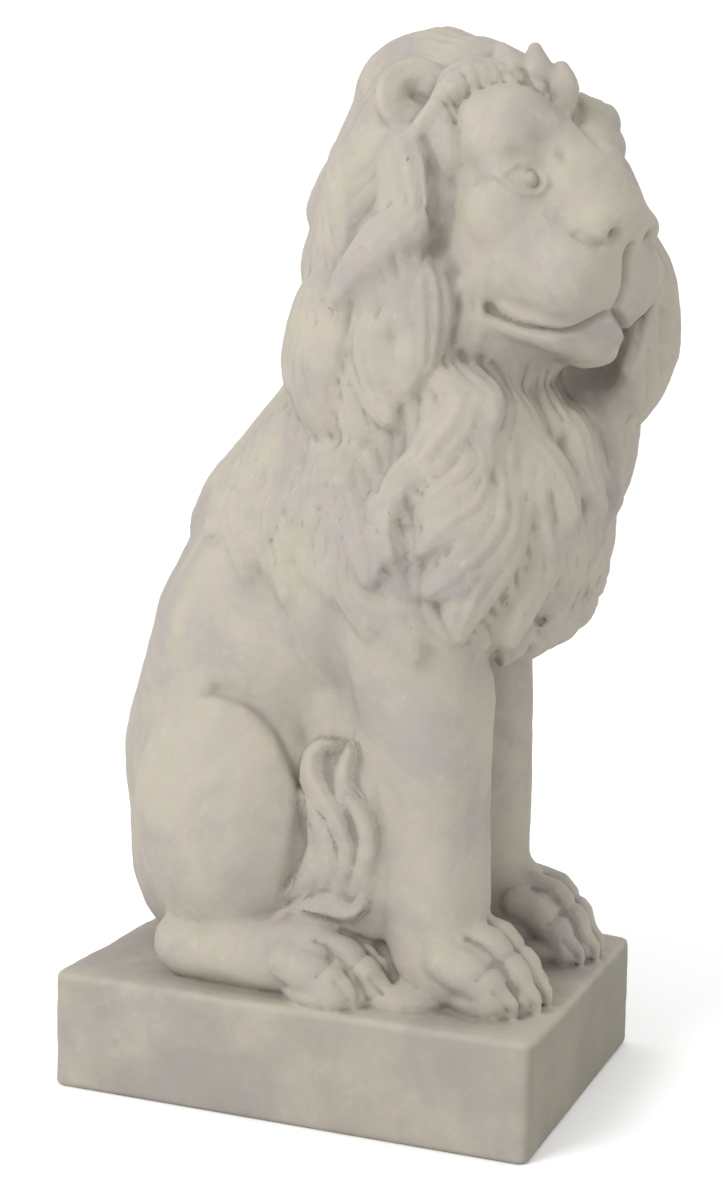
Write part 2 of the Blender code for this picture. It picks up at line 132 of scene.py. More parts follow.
bodyForms = {
    "spine": [(0, 11, 11), (0, 11, 22), (0, 8.5, 33), (0, 4.5, 43), (0, -2, 54), (0, -5, 64)],
    "thick": [14.4, 15.2, 14.6, 13.8, 11.8, 9.8],
    "flat": (0.95, 1, 1),
    "lumps": [
        ((10.2, -3.5, 43), (5.6, 9, 13), (12, 0, 0)),  # shoulders
        ((0, -3, 19), (13.6, 9.5, 30)),  # belly
    ],
}


def addBody(bm):
    addRoll(bm, plain, bodyForms["spine"], bodyForms["thick"], bodyForms["flat"])
    pileUp(bm, plain, bodyForms["lumps"])


haunch = {
    "centre": (11.7, 9.6, 17.2),
    "size": (7.6, 10.3, 14.0),
    "hollow": [  # fills the space behind the tail's tuft
        ((11.6, -3.0, 15), (3.4, 7.4, 12.5)),
        ((12.0, 0.4, 13.5), (3.2, 5, 10.5)),
    ],
    "edge": [(13.7, 10.4, 29.8), (14, 5, 28.4), (14.3, 1.6, 24.9), (14.8, -0.3, 20.1), (15.2, -0.1, 15),
             (14.7, 1.3, 9.6)],
}


def addHaunches(bm):
    x, y, z = haunch["centre"]
    for side in (-1, 1):
        addBall(bm, plain, (side * x, y, z), haunch["size"])
    pileUp(bm, plain, haunch["hollow"])


# Each toe has its place across the paw, its reach, its height and its thickness
legForms = {
    "apart": 9.6,
    "course": [(1.08, -9, 44), (1.05, -12.2, 31), (1, -13.4, 17), (1, -13.8, 5)],  # X as a share of apart
    "thick": [7.6, 6.6, 5.6, 5.2],
    "back": {-1: 1.2, 1: 2.9},  # the left leg stands a little further back
    "paw": {-1: (0.7, 0), 1: (0.1, 0.3)},  # how far each paw is set back, and how much higher it is
    "instep": ((-15.9, 3.8), (5.8, 5.6, 5.4)),  # Y and Z, then its size
    "sole": ((-19.4, 1.4), (6.0, 4.8, 2.6)),
    "ridges": [[(15.3, -5, 36.7), (13.5, -6, 28.5), (13.7, -6.9, 20.6), (13.4, -8.3, 10.5)],
               [(8.7, -16.9, 32.7), (9.9, -17.4, 24.9), (9.5, -17.5, 10.6)]],
    "toeTip": -22.0,
    "toes": [(-4.1, 0, 6.2, 2.2), (-1.5, 1.6, 7.8, 2.05), (1.3, 1.9, 7.8, 1.95), (3.9, 0.9, 6.6, 1.9)],
}

footForms = {
    "apart": 13.7,
    "course": [(12.9, 3.6), (4, 3.8), (-1, 4.2)],  # Y and Z
    "thick": [3.8, 4.4, 4.3],
    "flat": (1.15, 1, 1),
    "sole": ((-3.4, 1.2), (5.6, 5.6, 2.4)),
    "joining": ((12.2, -10, 0.6), (4.4, 5.4, 2.0)),  # between the hind foot and the fore one
    "toeTip": -6.0,
    "toes": [(3.7, 0, 5.2, 2.1), (1.2, 2.8, 6.2, 1.95), (-1.3, 3.6, 6.0, 1.85), (-3.6, 2.9, 5.2, 1.8)],
}

toeForm = {
    "behind": (6.4, 4.4, 1.9, 1.3),  # how far its points lie behind the tip
    "thick": (1.05, 1.12, 1, 0.98),  # shares of the toe's thickness, here and below
    "knuckle": (0.94, 0.9, 0.72),
    "claw": [(0.4, 2.6), (-0.5, 1.7), (-0.9, 0.6)],  # Y from the tip, and Z
    "clawThick": (0.5, 0.42, 0.22),
}


def addToe(bm, x, tip, high, thick):
    # from its knuckle down to the pad, and then the claw
    heights = (high - 0.9, high - thick + 0.4, high * 0.5, 1.6)
    course = [(x, tip + behind, z) for behind, z in zip(toeForm["behind"], heights)]
    addRoll(bm, plain, course, [thick * share for share in toeForm["thick"]])
    knuckle = (x, tip + 4.6, high - thick * 0.55)
    addBall(bm, plain, knuckle, [thick * share for share in toeForm["knuckle"]])
    claw = [(x, tip + y, z) for y, z in toeForm["claw"]]
    addRoll(bm, plain, claw, [thick * share for share in toeForm["clawThick"]])


def addLegs(bm):
    (instepY, instepZ), (wide, long, deep) = legForms["instep"]
    for side in (-1, 1):
        x = side * legForms["apart"]
        back = legForms["back"][side]
        course = [(x * share, y + back, z) for share, y, z in legForms["course"]]
        addRoll(bm, plain, course, legForms["thick"])
        shift, raised = legForms["paw"][side]
        more = raised * 0.5
        addBall(bm, plain, (x, shift + instepY, instepZ + more), (wide, long, deep + more))
        x = side * footForms["apart"]
        course = [(x, y, z) for y, z in footForms["course"]]
        addRoll(bm, plain, course, footForms["thick"], footForms["flat"])


def addToes(bm):
    for side in (-1, 1):
        x = side * legForms["apart"]
        shift, raised = legForms["paw"][side]
        (y, z), size = legForms["sole"]
        addBall(bm, plain, (x, shift + y, z), size)
        for offset, reach, high, thick in legForms["toes"]:
            addToe(bm, x - side * offset, legForms["toeTip"] - reach + shift, high + raised, thick)
        x = side * footForms["apart"]
        (y, z), size = footForms["sole"]
        addBall(bm, plain, (x, y, z), size)
        (across, y, z), size = footForms["joining"]
        addBall(bm, plain, (side * across, y, z), size)
        for offset, reach, high, thick in footForms["toes"]:
            addToe(bm, x + side * offset, footForms["toeTip"] - reach, high, thick)


# Bulk of the mane

maneForms = {
    "bulk": [
        ((0, -7.4, 76.8), (12.8, 11, 18.4)),
        ((0, -5.2, 74), (11.5, 11.2, 15)),
        ((0, -9.5, 62), (14.5, 13, 18)),
        ((0, -12.8, 50), (14.3, 12.3, 15)),
        ((0, -0.8, 46.2), (12, 10, 13), (-28, 0, 0)),
        ((8.4, -12.4, 45.6), (8.8, 8.6, 11.6)),
    ],
    "chest": [((6.5, -16.2, 58), (8.5, 9.8, 14)), ((-6, -14, 58), (8.5, 8, 15))],  # fuller on the left
}

# Ends of the locks, bunched where they hang over the legs
fringe = {
    "radii": [1.6, 2.3, 2.1, 1.2],
    "drop": [(0, 0, 8), (0.2, -0.3, 4.6), (0, 0.2, 1.6), (-0.3, 1.2, 0)],
    "ends": [(-15.0, -8.6, 41.0), (-13.8, -11.0, 38.2), (-11.8, -13.4, 36.4), (-9.0, -15.4, 35.8),
             (-6.0, -17.6, 36.4), (-3.0, -19.4, 36.8), (0, -20.6, 37.6), (3.0, -21.0, 38.6),
             (6.0, -20.0, 39.0), (9.0, -17.8, 38.6), (11.8, -14.6, 38.2), (13.8, -11.0, 39.4)],
}


def addManeBulk(bm):
    pileUp(bm, plain, maneForms["bulk"])
    for centre, radii in maneForms["chest"]:
        addBall(bm, plain, centre, radii)


def addFringe(bm):
    for end in fringe["ends"]:
        addCurl(bm, plain, [Vector(end) + Vector(step) for step in fringe["drop"]], fringe["radii"])


# Head

headForms = [
    ((0, -4, 2), (10.7, 10.6, 11)),  # skull
    ((5.6, -6.5, -3.2), (5.4, 7.8, 8)),  # cheeks
    ((5.8, -10.4, 0), (5.2, 4.8, 5.2)),
    ((5.0, -12.2, -3.6), (4.6, 5.8, 6.2)),
    ((5.2, -10.4, 6.6), (5.6, 4.4, 3.9)),  # brows
    ((3.1, -12.5, 6.8), (3.4, 3.5, 3.4)),
    ((3.5, -8.4, 8.4), (6, 5.5, 4.6)),  # forehead
    ((3.5, -12.8, -5.0), (4.7, 5.4, 5.8)),  # muzzle
    ((3.9, -16.4, -5.4), (4.8, 4.5, 5.0)),
    ((0, -16.8, -5.2), (4.4, 4.0, 5.2)),
    ((2.5, -18.9, -1.0), (2.9, 2.9, 2.5)),  # nose
    ((0, -19.3, -1.0), (3.0, 2.5, 2.4)),
    ((2.9, -11.5, -10.2), (4.6, 7.0, 3.2)),  # jaw and chin
    ((0, -13.8, -11.2), (5.4, 4.2, 2.9)),
    ((7.2, -11.8, 3.2), (3.0, 2.8, 2.6)),  # eyes
    ((0, -1.8, 11.0), (8.6, 8.4, 6.2)),  # crown
    ((0, 3.2, 10.7), (9.2, 7.4, 7.6)),
]
ruffForms = [
    ((-9.6, -2.6, -10), (5.8, 5.6, 11)),
    ((11.4, -7.4, -9.6), (5.8, 9.6, 11.8)),
    ((-8, 5.4, -14), (8, 5.8, 11)),
    ((9.6, -5.2, -18.5), (5.0, 6.4, 9)),
]
muzzleTop = {"points": [(0, -11.2, 5.6), (0, -15.2, 3.0), (0, -18.4, -0.6)], "thick": [4.6, 4.2, 3.4]}
lowerLip = {"points": [(7.8, -9.6, -10.0), (6.2, -12.8, -10.8), (3.6, -15.0, -11.3), (0, -16.2, -11.4)],
            "thick": [1.7, 2.0, 2.4, 2.6]}


def addHead(bm):
    pileUp(bm, headFrame, headForms)
    for centre, radii in ruffForms:
        addBall(bm, headFrame, centre, radii)
    addRoll(bm, headFrame, muzzleTop["points"], muzzleTop["thick"], (1.45, 1, 1))
    for side in (-1, 1):
        addRoll(bm, headFrame, [(side * x, y, z) for x, y, z in lowerLip["points"]], lowerLip["thick"])


earForms = {
    "centre": (9.9, -1.9, 11.5),
    "facing": (0.75, -0.62, 0.25),
    "size": (3.7, 3.9, 2.6),
    "back": (3.9, 4.1, 3.0),
    "depth": 1.6,  # how far the ear's middle lies behind its mouth
    "rim": {"radius": 3.0, "thick": 0.95, "behind": 0.6, "start": -50, "sweep": 285, "steps": 14},
    "hollows": [(0, 0, 2.2, 1.6), (1.2, 0.6, 1.0, 1.2)],  # down, inward, then depth and width
}


def earAxes(side):
    x, y, z = earForms["centre"]
    centre = Vector((side * x, y, z))
    x, y, z = earForms["facing"]
    facing = Vector((side * x, y, z)).normalized()
    across = facing.cross(Vector((0, 0, 1))).normalized()
    return centre, facing, across, across.cross(facing)


def addEars(bm):
    depth = earForms["depth"]
    form = earForms["rim"]
    for side in (-1, 1):
        centre, facing, across, upward = earAxes(side)
        turn = Matrix((across, upward, facing)).transposed().to_4x4()
        place = headFrame @ Matrix.Translation(centre - facing * depth) @ turn
        addBall(bm, place, (0, 0, 0), earForms["size"])
        addBall(bm, place, (0, 0, -depth), earForms["back"])
        rim = []
        for i in range(form["steps"] + 1):
            angle = math.radians(form["start"] + form["sweep"] * i / form["steps"])
            out = across * (side * math.cos(angle)) + upward * math.sin(angle)
            rim.append(centre + out * form["radius"] - facing * form["behind"])
        addRoll(bm, headFrame, rim, [form["thick"]] * len(rim))


forelocks = {
    "brow": [(1.6, -11.2, 10.6), (4, -9.0, 12.4), (6.8, -6.4, 12.8), (9.2, -4.4, 10.8), (10.8, -3.6, 7.6)],
    "browThick": [1.3, 2.0, 2.2, 1.7, 1.0],
    "lower": {-1: 0, 1: -1.6},  # the brow's hair lies lower on the left
    "corner": ((8.6, -4.6, 8.8), (2.0, 2.0, 2.4)),  # fills the space between the brow and the ear
    "temple": ((9.7, -4.8, 5.6), (1.8, 3.0, 3.4)),
    "tufts": [  # not mirrored: a quiff in the middle, and a second one beyond the parting
        ([(-0.6, -12.8, 9.4), (-1.2, -13.2, 12.2), (-0.9, -12.6, 14.0)], [1.3, 1.5, 0.8]),
        ([(-2.0, -11.4, 9.6), (-2.6, -11.0, 13.4), (-1.6, -9.8, 15.9)], [1.5, 1.7, 0.8]),
        ([(-3.4, -9.6, 10.6), (-4.0, -9.0, 13.6), (-3.4, -7.0, 15.8)], [1.5, 1.8, 0.9]),
        ([(0.8, -12.0, 9.8), (0.3, -11.4, 12.2), (0.2, -10.2, 13.6)], [1.2, 1.4, 0.7]),
        ([(2.2, -13.0, 9.0), (3.0, -12.8, 10.2), (3.9, -11.8, 11.0)], [1.1, 1.2, 0.5]),
        ([(3.2, -13.0, 8.4), (5.0, -13.2, 9.4), (7.2, -12.2, 8.6)], [1.3, 1.7, 1.3]),
        ([(4.2, -10.8, 9.8), (6.0, -10.8, 9.8), (8.0, -9.4, 8.8)], [1.8, 2.2, 1.8]),
    ],
}


def browCourse(side):
    lower = forelocks["lower"][side]
    return [(side * x, y, z + lower) for x, y, z in forelocks["brow"]]


def addForelocks(bm):
    for side in (-1, 1):
        addCurl(bm, headFrame, browCourse(side), forelocks["browThick"], 9)
        (x, y, z), size = forelocks["corner"]
        addBall(bm, headFrame, (side * x, y, z + forelocks["lower"][side]), size)
        (x, y, z), size = forelocks["temple"]
        addBall(bm, headFrame, (side * x, y, z), size)
    for points, radii in forelocks["tufts"]:
        addCurl(bm, headFrame, points, radii)


# Tuft of the tail, between the haunch and the foreleg. Each strand is a list of Y and Z, then its
# width and height.
tailTuft = {
    "side": 24,  # the strands are cast onto the skin from here
    "facing": -0.25,  # and face a little forward
    "lift": 0.1,
    "strands": [
        ([(3.4, 6.4), (0.2, 8.4), (-2.9, 9.6), (-5.0, 9.2), (-6.8, 10.2)], 2.4, 1.5),
        ([(3.2, 8.4), (1.2, 10.4), (-0.4, 12.8), (-0.8, 15.4)], 1.7, 0.9),
        ([(1.8, 8.6), (-0.9, 12.0), (-1.5, 15.6), (-0.4, 18.4), (0.8, 21.0)], 1.8, 1.1),
        ([(-5.2, 8.6), (-6.8, 11.6), (-7.0, 14.4)], 1.3, 0.7),
        ([(-4.8, 9.2), (-6.5, 13.6), (-6.9, 17.2), (-5.6, 20.3), (-3.6, 23.0)], 2.0, 1.3),
        ([(-5.6, 17.6), (-4.5, 20.8), (-4.2, 23.4), (-4.9, 26.2)], 2.2, 1.4),
        ([(-2.2, 9.0), (-4.9, 14.8), (-3.6, 18.8), (-1.3, 21.8), (-0.7, 23.8), (-1.6, 25.3), (-3.3, 25.6)],
         2.2, 1.8),
        ([(-0.4, 9.4), (-3.0, 13.6), (-2.4, 17.0), (-1.0, 19.4), (0.3, 22.4)], 1.8, 1.4),
    ],
}


def layTailTuft(hair):
    count = lockForm["steps"] + 1
    for side in (-1, 1):
        facing = Vector((side, tailTuft["facing"], 0)).normalized()
        inward = Vector((-side, 0, 0))
        for points, width, height in tailTuft["strands"]:
            spots = curveThrough([(side * tailTuft["side"], y, z) for y, z in points], count)
            found = [hair["tree"].ray_cast(spot, inward)[0] for spot in spots]
            normals = np.array([facing] * count)
            hair["tuft"].append((np.array(found), normals, width, height, tailTuft["lift"]))


# Plinth

plinthForm = {"length": 0.516, "width": 0.389, "corner": 0.012, "arris": 0.005}


def addPlinth(bm):
    unit = grid["unit"]
    block = bmesh.new()
    high = grid["plinthTop"] / unit
    size = Matrix.Diagonal((plinthForm["width"] / unit, plinthForm["length"] / unit, high, 1))
    bmesh.ops.create_cube(block, size=1, matrix=Matrix.Translation((0, 0, -high / 2)) @ size)
    upright = [e for e in block.edges if abs(e.verts[0].co.z - e.verts[1].co.z) > high / 2]
    bmesh.ops.bevel(block, geom=upright, offset=plinthForm["corner"] / unit, segments=5, profile=0.5,
                    affect="EDGES", material=-1)
    rims = [e for e in block.edges if abs(e.verts[0].co.z - e.verts[1].co.z) < high / 2]
    bmesh.ops.bevel(block, geom=rims, offset=plinthForm["arris"] / unit, segments=3, profile=0.5,
                    affect="EDGES", material=-1)
    mesh = bpy.data.meshes.new("block")
    block.to_mesh(mesh)
    block.free()
    bm.from_mesh(mesh)


# Fusing

def applied(piece):
    graph = bpy.context.evaluated_depsgraph_get()
    mesh = bpy.data.meshes.new_from_object(piece.evaluated_get(graph))
    bpy.data.objects.remove(piece)
    return mesh


def fuse(bm, name, voxel, smoothing):
    mesh = bpy.data.meshes.new(name)
    bm.to_mesh(mesh)
    bm.free()
    piece = bpy.data.objects.new(name, mesh)
    bpy.context.scene.collection.objects.link(piece)
    remesh = piece.modifiers.new("fuse", "REMESH")
    remesh.mode = "VOXEL"
    remesh.voxel_size = voxel
    smooth = piece.modifiers.new("smooth", "SMOOTH")
    smooth.factor = 0.5
    smooth.iterations = smoothing
    return applied(piece)


# Hair. A lock is a long leaf on the skin: it rises away from its root, its strands run along
# it, and its tip lies over whatever is next to it.

lockForm = {
    "steps": 14,
    "dome": 0.62,  # share of the height that is roundness; the rest grows towards the tip
    "strand": 1.7,  # spacing of the strands
    "depth": 0.42,  # and how deep they are parted
    "facing": (0.25, 0.65),  # skin turned further from the lock's own is left alone
    "snap": 2.2,  # and so is skin that lies this far beyond half the width
}

# No hair lies between these two: the mane's lower end, as Y and Z, and the top of the tail's tuft
maneEnd = {"line": ((-14, -6, 2, 12), (33.6, 34.4, 38, 42)), "tail": 28}


def smoothShare(value, start, end):
    share = np.clip((value - start) / (end - start), 0, 1)
    return share * share * (3 - 2 * share)


def eased(value, start, end):
    return float(smoothShare(value, start, end))


def leafWidth(along):
    return (0.5 + 0.5 * np.sin(0.5 * math.pi * np.minimum(along / 0.45, 1))) * (1 - along ** 3.5) ** 0.8


def hairAt(places, facing, locks):
    # how high the hair stands over each place, and how deep its strands are parted there
    high = np.zeros(len(places))
    parted = np.zeros(len(places))
    for number, (points, normals, width, height, lift) in enumerate(locks):
        reach = width / 2 + lockForm["snap"]
        inside = np.all((places > points.min(0) - reach) & (places < points.max(0) + reach), axis=1)
        near = np.nonzero(inside)[0]
        spots = places[near]
        best = np.full(len(near), np.inf)
        along = np.zeros(len(near))
        aside = np.zeros(len(near))
        last = len(points) - 1
        for step in range(last):
            span = points[step + 1] - points[step]
            across = np.cross(span, normals[step])
            across /= max(np.linalg.norm(across), 1e-9)
            share = np.clip((spots - points[step]) @ span / max(span @ span, 1e-9), 0, 1)
            gap = spots - points[step] - share[:, None] * span
            away = np.linalg.norm(gap, axis=1)
            closer = away < best
            best[closer] = away[closer]
            along[closer] = (step + share[closer]) / last
            aside[closer] = (gap @ across)[closer]
        across = aside / np.maximum(leafWidth(along) * width / 2, 0.05)
        kept = (np.abs(across) < 1) & (best < reach) & (along < 1)
        near, along, across = near[kept], along[kept], across[kept]
        agree = np.einsum("ij,ij->i", facing[near], normals[np.round(along * last).astype(int)])
        ease = smoothShare(along, 0, 0.3) * smoothShare(agree, *lockForm["facing"])
        dome = np.sqrt(1 - across**2)
        value = height * ease * (lockForm["dome"] * dome + (1 - lockForm["dome"]) * along + lift * along**2)
        strands = max(2, round(width / lockForm["strand"]))
        wave = np.sin(math.pi * strands * (across + 1) / 2 + 0.7 * np.sin(3.5 * along + number))
        groove = lockForm["depth"] * (1 - np.abs(wave)) ** 1.5 * ease * dome
        taller = value > high[near]
        high[near[taller]] = value[taller]
        parted[near[taller]] = groove[taller]
    lowest = np.interp(places[:, 1], *maneEnd["line"])
    bare = (places[:, 2] < lowest) & (places[:, 2] > maneEnd["tail"])
    high[bare] = 0
    parted[bare] = 0
    return high, parted


def skinTree(mesh):
    return BVHTree.FromPolygons([v.co for v in mesh.vertices], [p.vertices for p in mesh.polygons])


def onSkin(hair, point):
    place, normal, _, _ = hair["tree"].find_nearest(point)
    return place, normal


def addLock(hair, points, normals, width, height, lift):
    hair["locks"].append((np.array(points), np.array(normals), width, height, lift))


def lockAlong(hair, course, width, height, lift):
    found = [onSkin(hair, p) for p in curveThrough(course, lockForm["steps"] + 1)]
    addLock(hair, [f[0] for f in found], [f[1] for f in found], width, height, lift)


bareFace = {"front": -6, "half": 9.6, "low": -16, "high": 10}  # no lock starts here, in the head's grid


def onFace(place):
    x, y, z = headFrame.inverted() @ place
    inside = bareFace["low"] < z < bareFace["high"] and abs(x) < bareFace["half"]
    return inside and y < bareFace["front"]


def lockFrom(hair, root, length, width, height, sway, phase, lift):
    place, normal = onSkin(hair, root)
    if onFace(place):
        return
    points, normals = [place], [normal]
    steps = lockForm["steps"]
    for i in range(steps):
        ahead = fallOfMane(place)
        sideways = ahead.cross(normal).normalized()
        angle = math.radians(sway) * math.sin(2 * math.pi * (i / steps + phase))
        heading = ahead * math.cos(angle) + sideways * math.sin(angle)
        heading = (heading - normal * heading.dot(normal)).normalized()
        place, normal = onSkin(hair, place + heading * length / steps)
        points.append(place)
        normals.append(normal)
    addLock(hair, points, normals, width, height, lift)


maneFall = {
    "out": (9, 21),  # the hair turns downwards between these distances from the head's middle
    "behind": (0, 8),  # and between these distances behind it
    "crown": 90,  # above this height only the second counts
}


def fallOfMane(place):
    # back over the crown, out and down at the sides, in towards the middle of the chest
    forward = headFrame.to_3x3() @ Vector((0, -1, 0))
    out = place - Vector(grid["headCentre"])
    behind = -out.dot(forward)
    out = out + forward * behind
    rise = max(0.0, out.normalized().z)
    inward = Vector((-0.02 * place.x, 0, 0)) if place.y < -5 else Vector()
    down = Vector((0, -0.1, -1)) + inward
    near = out.normalized() * 0.3 - forward * (0.3 + 0.7 * rise) + down * (0.8 - 0.8 * rise)
    share = eased(behind, *maneFall["behind"])
    if place.z <= maneFall["crown"]:
        share = max(eased(out.length, *maneFall["out"]), share)
    return (near * (1 - share) + down * (0.25 + share)).normalized()


maneRows = {
    "seed": 5,
    "neckReach": (18, -8, -20),  # across, then the middle and the reach in Y
    # heights at the front and the back, count, length and width
    "neck": [(44, 59, 20, 15, 7.0), (48, 62, 19, 18, 7.4), (53, 66, 18, 20, 7.4), (58, 70, 17, 21, 7.4),
             (64, 75, 17, 21, 7.2), (70, 80, 16, 20, 7.0)],
    # radius, place in Y, count, length, width, and degrees left free on each side of the crown
    "rings": [(19, 5, 17, 19, 6.4, 62), (16.5, 1.5, 17, 18, 6.2, 60), (14, -1.5, 17, 16, 5.6, 64),
              (12.2, -4.5, 15, 14, 4.8, 74)],
    # place in Y and Z, count and length
    "crown": [(8, 14, 7, 15), (2, 16, 7, 15), (-5, 13, 7, 17)],
    "crownHalf": 9.5,
    "crownLock": (5.6, 1.0, 12),  # width, height and sway
    "height": 1.9,
}


def swayPhase(angle, rng):
    return 0.5 + 0.5 * math.sin(angle) + rng.uniform(-0.12, 0.12)


def layRows(hair):
    rng = np.random.default_rng(maneRows["seed"])
    wide, middle, reach = maneRows["neckReach"]
    for front, back, count, length, width in maneRows["neck"]:
        for i in range(count):
            angle = 2 * math.pi * (i + 0.5 * (count % 2)) / count
            share = ((1 - math.cos(angle)) / 2) ** 0.8
            high = front + (back - front) * share
            root = Vector((wide * math.sin(angle), middle + reach * math.cos(angle), high))
            phase = swayPhase(angle, rng)
            soft = eased(share, 0.1, 0.35)  # lower towards the shoulders and the back
            lockFrom(hair, root, length * rng.uniform(0.8, 1.2), width * rng.uniform(0.7, 1.1),
                     maneRows["height"] * (1 - 0.35 * soft), rng.uniform(14, 26), phase, 0.2 - 0.3 * soft)
    for radius, depth, count, length, width, gap in maneRows["rings"]:
        for i in range(count):
            angle = math.radians(gap + (360 - 2 * gap) * i / (count - 1))
            root = headFrame @ Vector((radius * math.sin(angle) * 0.92, depth, radius * math.cos(angle)))
            phase = swayPhase(angle, rng)
            lockFrom(hair, root, length * rng.uniform(0.85, 1.15), width * rng.uniform(0.7, 1.05),
                     maneRows["height"] * 0.8, rng.uniform(12, 24), phase, 0.1)
    for depth, high, count, length in maneRows["crown"]:
        for i in range(count):
            across = -1 + 2 * (i + 0.5) / count
            root = headFrame @ Vector((maneRows["crownHalf"] * across, depth + 4 * across * across, high))
            lockFrom(hair, root, length, *maneRows["crownLock"], 0.25 if across < 0 else 0.75, 0.1)


# Long locks that the eye finds first: beside the cheeks, and down the sides and the chest. Each is
# a list of places, then its width and height.
longLocks = {
    "lift": 0.2,
    "cheek": [  # in the head's grid, mirrored
        ([(12, 5.5, 11.5), (13, 6.8, 6), (12.5, 3.2, 1), (12.5, 2, -5)], 5.4, 2.0),
        ([(11.2, 0.6, 8.8), (11.5, -2.2, 5.4), (12, -4.0, 0.6), (12.4, -2.4, -5), (12.6, 1.0, -11)],
         6.8, 3.1),
        ([(11.5, -4.6, -3), (12.4, -6.4, -7), (12.8, -6.4, -12), (13.4, -5.0, -18)], 6.0, 1.8),
    ],
    "far": [  # in the head's grid, beyond the chin
        ([(9.0, -11.0, -1), (9.6, -14.2, -6), (8.8, -15.6, -11), (7.6, -15.0, -16)], 3.8, 1.8),
        ([(12.0, -14.6, -11), (12.6, -16.0, -16), (11.2, -16.6, -21), (10.0, -15.6, -26)], 4.2, 2.2),
        ([(15.4, -8.6, -4), (16.4, -11.0, -9), (15.8, -13.6, -14), (14.0, -14.8, -19)], 4.4, 1.8),
        ([(15.6, -11.0, -13), (15.2, -13.4, -18), (13.0, -15.0, -23), (12.4, -14.6, -28)], 4.4, 2.0),
        ([(10.4, -10.2, 3), (12.0, -13.4, -2), (12.8, -15.6, -7), (11.8, -16.4, -12)], 5.4, 1.2),
        ([(13.4, -9.0, 0), (14.6, -12.6, -6), (14.6, -15.2, -11), (13.0, -16.4, -16)], 5.6, 1.5),
        ([(10.4, -14.4, -7), (10.2, -16.4, -12), (11.2, -16.8, -17), (9.8, -16.4, -22)], 5.4, 1.4),
    ],
    "sides": [  # in the figure's grid, mirrored
        ([(-8.1, 3.3, 79), (-9.0, 3.8, 72.5), (-9.2, 4.6, 66.5), (-10.6, 3.2, 60)], 5.4, 1.7),
        ([(-12.6, -2.4, 80), (-12.3, -1.1, 74.4), (-13.0, -2.6, 69.6), (-13.8, -2.2, 63)], 5.4, 1.9),
        ([(-10.1, 2.7, 62), (-11.3, 2.7, 56.6), (-13.5, 2.5, 52.2), (-15.3, 1.9, 47.6)], 4.8, 1.4),
        ([(-14.0, -3.6, 67), (-13.4, -2.2, 61), (-14.0, -3.0, 56), (-15.6, -3.8, 51)], 5.2, 1.7),
        ([(-15.8, -7.4, 71), (-15.0, -5.5, 66), (-15.5, -6.6, 61), (-15.5, -9.0, 57)], 5.6, 2.0),
        ([(-14.8, -4.6, 58), (-15.6, -4.5, 52.7), (-17.1, -6.4, 49), (-18.4, -7.8, 45), (-17.6, -8.2, 42)],
         5.2, 2.2),
        ([(-15.4, -7.8, 59), (-15.6, -7.2, 53), (-16.8, -8.0, 50), (-17.6, -9.4, 47), (-17.9, -10.8, 44.6)],
         4.6, 2.2),
        ([(-14.8, -14.8, 65), (-15.7, -15.4, 60), (-15.9, -12.4, 56), (-16.4, -9.8, 52.6), (-17, -9.9, 47)],
         5.6, 2.5),
        ([(-15.0, -18.0, 58), (-15.4, -16.4, 54), (-16.6, -14.0, 51), (-17.2, -12.6, 48.6)], 4.0, 2.3),
        ([(-14.2, -18.6, 56.6), (-15.2, -17.4, 51.4), (-17.2, -15.0, 48.4), (-17.8, -12.4, 45.6)], 4.4, 2.5),
        ([(-13.2, -19.8, 57), (-14.4, -20.2, 51), (-15.4, -19.3, 47.9), (-17.0, -15.8, 44),
          (-17.7, -12.6, 42)], 5.6, 2.8),
        ([(-12.0, -20.8, 55.6), (-13.2, -21.3, 49.4), (-15.8, -18.6, 44.1), (-15.8, -16.4, 41),
          (-14.6, -14.6, 37)], 5.6, 3.0),
        ([(-11.2, -21.6, 54.4), (-9.8, -23, 48), (-9.4, -22.6, 43.6), (-11.6, -20.2, 40),
          (-11, -18.2, 37.2)], 5.6, 2.9),
    ],
    "middle": [  # in the figure's grid
        ([(-11.1, -20.8, 58.4), (-8.6, -22.8, 54.4), (-7.6, -24.0, 51.2), (-7.7, -24.4, 47.6)], 4.8, 2.4),
        ([(-6.4, -22.6, 64), (-3.4, -24.2, 58), (-4.4, -25.2, 53.3), (-2.9, -25.7, 48.6)], 5.0, 2.6),
        ([(3.4, -26.6, 62), (4.6, -27, 57), (3.0, -26.6, 52.6), (-1.8, -25.9, 48.6)], 4.8, 2.6),
        ([(6.4, -25.6, 53), (5.4, -25.4, 47), (2.2, -24.4, 42.4), (-0.6, -23, 39)], 5.6, 2.6),
        ([(-7.0, -23.6, 48.6), (-5.0, -24.2, 45), (-4.4, -23, 41), (-6.2, -21, 38)], 5.2, 2.4),
        ([(12, -23, 58), (11.6, -23, 52), (9.6, -22, 46), (6.4, -21.6, 40)], 5.4, 2.6),
    ],
}


def layLongLocks(hair):
    def lay(course, width, height):
        lockAlong(hair, course, width, height, longLocks["lift"])

    for side in (-1, 1):
        for course, width, height in longLocks["cheek"]:
            lay([headFrame @ Vector((side * x, y, z)) for x, y, z in course], width, height)
        for course, width, height in longLocks["sides"]:
            lay([(side * -x, y, z) for x, y, z in course], width, height)
    for course, width, height in longLocks["far"]:
        lay([headFrame @ Vector(p) for p in course], width, height)
    for course, width, height in longLocks["middle"]:
        lay(course, width, height)


# Tool work in the finished skin

